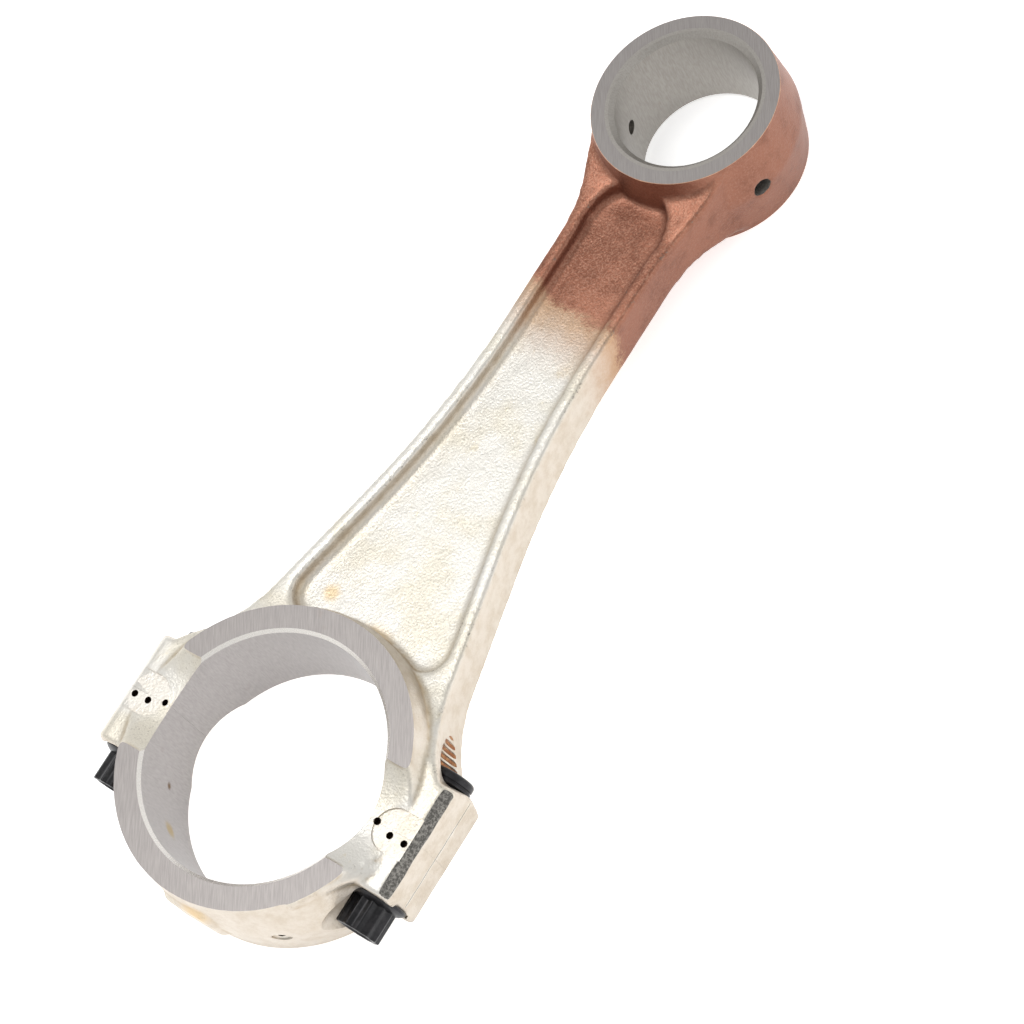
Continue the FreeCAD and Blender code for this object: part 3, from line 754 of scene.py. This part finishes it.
def plug(radius, start, end, place, steps=64):
    """A plain round bar, as a filling or a cutter."""
    return turned([(0.0, start), (radius, start), (radius, end), (0.0, end)], place, (), steps)


def relieved(bm):
    """Hollow a shell across the joint, on both faces, as the dies do."""
    shell = as_object("shell", bm)
    rollers = []
    for face in (-1, 1):
        axis = at(0, 0, face * (RELIEF_LEVEL + RELIEF_RADIUS), ALONG_Y)
        rollers.append(as_object("roller", plug(RELIEF_RADIUS, -FAR, FAR, axis, 160)))
    carve(shell, rollers)
    hollowed = bmesh.new()
    hollowed.from_mesh(shell.data)
    discard(shell, *rollers)
    return hollowed


def bore_filling():
    """The metal that the boring bar will take out of the big end."""
    top = half_width + STOCK
    return relieved(plug(big_bore + BIG_CHAMFER + FILL_LAP, -top, top, at(0, 0, 0), 160))


def clip(bm, keep):
    """Keep the half of a closed shell on one side of the joint, with some stock past it."""
    bmesh.ops.bisect_plane(
        bm,
        geom=bm.verts[:] + bm.edges[:] + bm.faces[:],
        plane_co=(-keep * STOCK * MM, 0, 0),
        plane_no=(keep, 0, 0),
        clear_inner=True,
    )
    bmesh.ops.holes_fill(bm, edges=[edge for edge in bm.edges if edge.is_boundary], sides=0)
    return bm


def soften(blank):
    """Remesh and smooth a blank; returns how far each point moved, outwards or inwards."""
    remesh = blank.modifiers.new("even_skin", "REMESH")
    remesh.mode = "VOXEL"
    remesh.voxel_size = VOXEL * MM
    settle(blank)
    bm = bmesh.new()
    bm.from_mesh(blank.data)
    before = [vert.co.copy() for vert in bm.verts]
    for _ in range(SMOOTHING):
        bmesh.ops.smooth_vert(
            bm, verts=bm.verts, factor=0.5, use_axis_x=True, use_axis_y=True, use_axis_z=True
        )
    bm.normal_update()
    melted = []
    for vert, start in zip(bm.verts, before):
        melted.append((start - vert.co).dot(vert.normal) / MM)
        swell = noise.noise(vert.co / (COARSE_WAVE * MM))
        swell += FINE_SHARE * noise.noise(vert.co / (FINE_WAVE * MM))
        vert.co += vert.normal * swell * UNEVEN * MM
    bm.to_mesh(blank.data)
    tree = KDTree(len(bm.verts))
    for vert, amount in zip(bm.verts, melted):
        tree.insert(vert.co, vert.index)
    tree.balance()
    bm.free()
    return tree, melted


def thin_out(piece):
    """Collapse the evenest parts of a mesh down to the triangle budget."""
    piece.data.calc_loop_triangles()
    count = len(piece.data.loop_triangles)
    step = piece.modifiers.new("thin_out", "DECIMATE")
    step.ratio = min(1.0, TRIANGLES / count)
    settle(piece)
    print(piece.name, count, "triangles thinned to", len(piece.data.polygons))


def as_mask(amount, gain, offset):
    """Stretch a measure into a mask between 0 and 1."""
    return min(1.0, max(0.0, amount * gain + offset))


def store_wear(piece, tree, melted):
    """On the finished mesh: wear on edges, stain and painted shade in corners, painted shade on sideways
    walls.
    """
    names = ("wear", "brown_tint", "side_shade")
    wear, brown_tint, side_shade = [piece.data.attributes.new(name, "FLOAT", "POINT") for name in names]
    for vert in piece.data.vertices:
        amount = melted[tree.find(vert.co)[1]]
        wear.data[vert.index].value = as_mask(amount, *WEAR)
        brown_tint.data[vert.index].value = as_mask(amount, *STAIN_AND_SHADE)
        side_shade.data[vert.index].value = as_mask(abs(vert.normal.z), *SIDE_SHADE)


def finish_piece(piece, body, node):
    """Smooth a piece between its creases, attach it to the body it rides on and hide the part it stands in
    for.
    """
    piece.data.polygons.foreach_set("use_smooth", [True] * len(piece.data.polygons))
    piece.data.set_sharp_from_angle(angle=CREASE)
    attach(piece, body)
    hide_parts(node)


# %% [markdown]
# ## The rod
#
# Stock goes on the end faces and the joint, the bores are filled, and then the machining follows.

# %% Forge and machine the rod
HOLE_FILLING = 7.2  # radius of the metal put back in a bolt hole
SEAT_LAP = 1.0
PAD_FLOOR = 8.0
PAD_LAP = 0.5
PAD_CREST = 0.1  # filling left proud of the relief, for the pad's cutter
BUSH_LAP = 0.5


def bolt_fillings(start, end):
    """Fillings for both bolt holes between two distances along the rod."""
    places = [at(0, side * bolt_offset, 0, ALONG_X) for side in (-1, 1)]
    return [plug(HOLE_FILLING, start, end, place) for place in places]


def pad_fillings():
    """Fill the numbering pads, so that they can be cut crisply."""
    fills = []
    for side in (-1, 1):
        for face in (-1, 1):
            y = sorted((side * (PAD_CENTRE - PAD_HALF), side * BEVEL_START))
            z = sorted((face * PAD_FLOOR, face * (RELIEF_LEVEL + PAD_CREST)))
            x = PAD_HALF + PAD_LAP
            fills.append(block((-x, y[0], z[0]), (x, y[1], z[1])))
    return fills


def forge(name, node, body, keep, shells, cutters):
    """Make one forging: blank, soft skin, machining, wear and its place in the frame."""
    bm = merged_copy(node)
    for face in (-1, 1):
        add_stock(bm, 2, face * half_width, face)
    add_stock(bm, 0, 0.0, -keep)
    for shell in [bore_filling()] + pad_fillings():
        shells.append(clip(shell, keep))
    piece = as_object(name, join(bm, *shells), (forging_skin,))
    tree, melted = soften(piece)
    thin_out(piece)
    carve(piece, flat_mills + [boring_bar] + joint_cutters + cutters)
    store_wear(piece, tree, melted)
    finish_piece(piece, body, node)


eye_top = half_width + STOCK
rod_shells = [plug(bush_outer + BUSH_LAP, -eye_top, eye_top, at(centre_distance, 0, 0), 128)]
rod_shells += bolt_fillings(-STOCK, BOLT_SEAT - SEAT_LAP)
forge("rod_forging", "rod", "rod", 1, rod_shells, rod_cutters)

# %% [markdown]
# ## The bearing cap
#
# The crown's flanks are ruled from the thrust face to a larger circle at mid width. That shell is made again
# without the pockets for the nuts, so that the mill can cut them crisply out of solid metal. A rough bead of
# flash stays where the trimming die ran beside the right lug.

# %% Forge and machine the cap
CROWN_RADIUS = 62.3
CROWN_SHIFT = 8.8
RING_RADIUS = 52.2
NUT_LAP = 1.8
BEAD = 2.0  # radius of the flash
FLASH = (
    (-36.0, -37.5, 17.4),
    (-30.0, -42.0, 17.4),
    (-24.0, -46.0, 16.6),
    (-18.0, -50.5, 15.0),
    (-13.0, -54.0, 13.2),
)


def flash_bead():
    """The rough seam that the trimming die leaves beside the right lug, as short overlapping rods."""
    beads = []
    for start, end in zip(FLASH, FLASH[1:]):
        run = Vector(end) - Vector(start)
        place = at(*start, run.normalized().to_track_quat("Z", "Y").to_matrix().to_4x4())
        beads.append(plug(BEAD, -BEAD / 2, run.length + BEAD / 2, place, 16))
    return beads


def crown_shell():
    """The outside of the cap as a closed shell: two thrust faces and the ruled flanks between them."""
    bm = bmesh.new()
    rings = []
    for radius, x, z in (
        (RING_RADIUS, 0, half_width),
        (CROWN_RADIUS, CROWN_SHIFT, 0),
        (RING_RADIUS, 0, -half_width),
    ):
        place = at(x, 0, z)
        made = bmesh.ops.create_circle(
            bm, cap_ends=z != 0, segments=192, radius=radius * MM, matrix=place
        )
        rim = set(made["verts"])
        within = [edge for edge in bm.edges if edge.verts[0] in rim and edge.verts[1] in rim]
        rings.append([edge for edge in within if len(edge.link_faces) < 2])
    for upper, lower in zip(rings, rings[1:]):
        bmesh.ops.bridge_loops(bm, edges=upper + lower)
    bmesh.ops.recalc_face_normals(bm, faces=bm.faces)
    return bm


cap_shells = [clip(relieved(crown_shell()), -1)]
cap_shells += flash_bead() + bolt_fillings(-NUT_SEAT - NUT_LAP, STOCK)
forge("bearing_cap_forging", "bearing_cap", "cap", -1, cap_shells, cap_cutters)
discard(*flat_mills, boring_bar, *joint_cutters, *rod_cutters, *cap_cutters)

# %% [markdown]
# ## Bolts and nuts
#
# A cap bolt's head is turned: a thin rim under a groove, a thick one over it and a rounded top with a shallow
# dimple. The nut is a twelve-point one, which a splined socket turns: a star of twelve ridges drawn up from a
# round flange. The star starts as a circle whose every other point is pulled in, is extruded to the nut's
# height, and its ridges and end are bevelled as the cold-forming die leaves them.

# %% Turn the bolts
HEAD_RADIUS = 7.6
HEAD_HEIGHT = 4.2
BOLT_RADIUS = 5.0
BOLT_TIP = -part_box("bolt_left")[0].x / MM
TIP_BREAK = 0.8
RIM_BREAK = 0.2
GROOVE = (0.9, 1.1, 1.4, 1.6)  # heights over the seat where it starts, deepens, rises and ends
GROOVE_DEPTH = 0.35
DOME = 1.5
DOME_STEPS = 8
DIMPLE_RIM = 3.2
DIMPLE_FLOOR = 2.8
DIMPLE_DEPTH = 0.5


def bolt_profile():
    """A bolt from its tip to the dimple in its head."""
    top = BOLT_SEAT + HEAD_HEIGHT
    starts, deepens, rises, ends = [BOLT_SEAT + height for height in GROOVE]
    profile = [
        (0.0, -BOLT_TIP),
        (BOLT_RADIUS - TIP_BREAK, -BOLT_TIP),
        (BOLT_RADIUS, -BOLT_TIP + TIP_BREAK),
        (BOLT_RADIUS, BOLT_SEAT),
        (HEAD_RADIUS - RIM_BREAK, BOLT_SEAT),
        (HEAD_RADIUS, BOLT_SEAT + RIM_BREAK),
        (HEAD_RADIUS, starts),
        (HEAD_RADIUS - GROOVE_DEPTH, deepens),
        (HEAD_RADIUS - GROOVE_DEPTH, rises),
        (HEAD_RADIUS, ends),
    ]
    for step in range(1, DOME_STEPS + 1):
        angle = math.radians(90 * step / DOME_STEPS)
        radius = HEAD_RADIUS - DOME * (1 - math.cos(angle))
        profile.append((radius, top - DOME + DOME * math.sin(angle)))
    floor = top - DIMPLE_DEPTH
    return profile + [(DIMPLE_RIM, top), (DIMPLE_FLOOR, floor), (0.0, floor)]


for side_name, side in (("left", 1), ("right", -1)):
    place = at(0, side * bolt_offset, 0, ALONG_X)
    bolt = as_object("cap_bolt_" + side_name, turned(bolt_profile(), place, (), 72), (black_oxide,))
    finish_piece(bolt, "rod", "bolt_" + side_name)
    print(bolt.name, "has", len(bolt.data.polygons), "faces")

# %% Form the nuts
NUT_END = -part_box("nut_left")[0].x / MM
NUT_HEIGHT = NUT_END - NUT_SEAT
NUT_POINT = 8.05
NUT_NOTCH = 7.05
NUT_LIFT = 0.4  # the star starts this far over the seat, inside the flange
NUT_TURN = 7  # degrees
RIDGE_BREAK = 0.42
END_BREAK = 0.5
END_START = 11.0  # edges higher than this belong to the nut's end
FLANGE = (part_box("nut_left")[1].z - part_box("nut_left")[0].z) / 2 / MM
FLANGE_BREAK = 0.3
FLANGE_WALL = 1.1
FLANGE_TOP = 3.2
FLANGE_SWEEP = 70  # degrees of the curve over its rim
FLANGE_CURVE = (0.8, 0.5)  # how far it leans in, and rises
FLANGE_SLOPE = (0.25, 0.14)  # further in and up with each step
FLANGE_STEPS = 6
TAP_PLAY = 0.05
TAP_MOUTH = ((0.9, 1.0), (1.9, 1.0))  # width and run-out, at the seat and at the end
TAP_SEAT_DEPTH = 0.8
TAP_END_DEPTH = 0.9


def star():
    """Twelve ridges round the nut's axis, standing along +Z from the seat."""
    bm = bmesh.new()
    made = bmesh.ops.create_circle(bm, cap_ends=True, segments=24, radius=NUT_POINT * MM)
    for number, vert in enumerate(made["verts"]):
        if number % 2:
            vert.co *= NUT_NOTCH / NUT_POINT
    grown = bmesh.ops.extrude_face_region(bm, geom=bm.faces[:])
    top = [item for item in grown["geom"] if isinstance(item, bmesh.types.BMVert)]
    bmesh.ops.translate(bm, verts=top, vec=Vector((0, 0, NUT_HEIGHT - NUT_LIFT)) * MM)
    bmesh.ops.recalc_face_normals(bm, faces=bm.faces)
    round_over(bm, upright_edges(bm), RIDGE_BREAK, 3)
    high = [edge for edge in bm.edges if min(vert.co.z for vert in edge.verts) > END_START * MM]
    round_over(bm, [edge for edge in high if edge.calc_face_angle(0) > 1], END_BREAK, 3)
    bmesh.ops.translate(bm, verts=bm.verts, vec=Vector((0, 0, NUT_LIFT)) * MM)
    return bm


def flange():
    """The nut's wide round foot, with a soft upper edge."""
    profile = [(0.0, 0.0), (FLANGE - FLANGE_BREAK, 0.0), (FLANGE, FLANGE_BREAK), (FLANGE, FLANGE_WALL)]
    (lean, lift), (lean_step, lift_step) = FLANGE_CURVE, FLANGE_SLOPE
    for step in range(1, FLANGE_STEPS + 1):
        angle = math.radians(FLANGE_SWEEP * step / FLANGE_STEPS)
        radius = FLANGE - lean * (1 - math.cos(angle)) - lean_step * step
        profile.append((radius, FLANGE_WALL + lift * math.sin(angle) + lift_step * step))
    profile += [(NUT_NOTCH - FLANGE_BREAK, FLANGE_TOP), (0.0, FLANGE_TOP)]
    return turned(profile, at(0, 0, 0), (), 96)


def nut(name, body, node, side):
    """One nut: its star and flange welded together, tapped, and turned into its place."""
    (seat_mouth, seat_out), (end_mouth, end_out) = TAP_MOUTH
    bore = [
        (0.0, -seat_out),
        (BOLT_RADIUS + seat_mouth, -seat_out),
        (BOLT_RADIUS + TAP_PLAY, TAP_SEAT_DEPTH),
        (BOLT_RADIUS + TAP_PLAY, NUT_HEIGHT - TAP_END_DEPTH),
        (BOLT_RADIUS + end_mouth, NUT_HEIGHT + end_out),
        (0.0, NUT_HEIGHT + end_out),
    ]
    piece = as_object(name, star(), (black_oxide,))
    tools = [as_object("flange", flange(), (black_oxide,))]
    carve(piece, tools, "UNION")
    tools.append(as_object("tap", turned(bore, at(0, 0, 0), (), 64), (black_oxide,)))
    carve(piece, tools[1:])
    discard(*tools)
    twist = Matrix.Rotation(math.radians(NUT_TURN), 4, "Z")
    turn = Matrix.Rotation(math.radians(-90), 4, "Y") @ twist
    piece.data.transform(at(-NUT_SEAT, side * bolt_offset, 0, turn))
    finish_piece(piece, body, node)
    print(piece.name, "has", len(piece.data.polygons), "faces")


nut("flange_nut_left", "nut_left", "nut_left", 1)
nut("flange_nut_right", "nut_right", "nut_right", -1)

# %% [markdown]
# ## The bush and the sleeves
#
# These are plain turned parts whose shape in the frame is already right, so they stay and only take a finish.
# The bush's chamfered rims catch the light, and the sleeves show when the cap is drawn off.

# %% Give the frame's own parts their finish
plain_parts = {"small_end_bush": bush_metal, "sleeve_left": joint_steel, "sleeve_right": joint_steel}
for node, finish in plain_parts.items():
    mesh = frame["nodes"][node].data
    mesh.materials.clear()
    mesh.materials.append(finish)
    print(node, "takes", finish.name)

# %% [markdown]
# ## The studio
#
# Bright metal shows what it reflects, so the rod lies in a white room. The floor glows like a light table,
# and the walls are brighter than the ceiling, so that upright faces stay brighter than level ones. Two large
# soft boxes shape the rod: a strong one on the left and a weak one on the right, so that the left-facing
# walls stay bright and the right-facing ones turn a little darker.

# %% Floor, sky and soft boxes
FLOOR_SIZE = 6.0
FLOOR_DROP = 0.02  # mm under the rod
FLOOR_GLOW = 0.6
WALLS = 1.1  # brightness of the room's walls, which the upright faces mirror
CEILING = 0.5


def studio_floor():
    """The light table that the rod lies on."""
    bm = bmesh.new()
    bmesh.ops.create_grid(bm, x_segments=1, y_segments=1, size=FLOOR_SIZE / 2)
    bmesh.ops.translate(bm, verts=bm.verts, vec=(0, 0, cad_box[0].z - FLOOR_DROP * MM))
    material, _, shader = finish_material("white_studio_floor", "FFFFFF", 0.0, 0.9)
    shader.inputs["Emission Color"].default_value = linear("FFFFFF")
    shader.inputs["Emission Strength"].default_value = FLOOR_GLOW
    floor = as_object("studio_floor", bm, (material,))


def soft_box(name, right, up, back, size, power):
    """A square light placed along the camera's own axes, aimed at the rod's middle."""
    data = bpy.data.lights.new(name, "AREA")
    data.shape = "SQUARE"
    data.size = size
    data.energy = power
    lamp = bpy.data.objects.new(name, data)
    middle = Vector((centre_distance / 2, 0, 0)) * MM
    offset = axes @ Vector((right, up, back))
    aim = offset.to_track_quat("Z", "Y").to_matrix().to_4x4()
    lamp.matrix_world = Matrix.Translation(middle + offset) @ aim
    scene.collection.objects.link(lamp)
    print(name, "gives", power, "W")


studio_floor()
soft_box("key_box", right=-0.9, up=0.7, back=1.1, size=0.7, power=9.0)
soft_box("fill_box", right=1.1, up=-0.2, back=0.9, size=0.9, power=2.0)
world = bpy.data.worlds.new("white_room")
world.use_nodes = True
sky = add(world.node_tree, "TexCoord").outputs["Generated"]
height = add(world.node_tree, "SeparateXYZ", None, Vector=sky).outputs["Z"]
rise = add(world.node_tree, "MapRange", None, Value=height)
rise.inputs["To Min"].default_value = WALLS
rise.inputs["To Max"].default_value = CEILING
background = world.node_tree.nodes["Background"]
background.inputs["Color"].default_value = linear("FFFFFF")
world.node_tree.links.new(rise.outputs[0], background.inputs["Strength"])
scene.world = world
scene.view_settings.view_transform = "Standard"
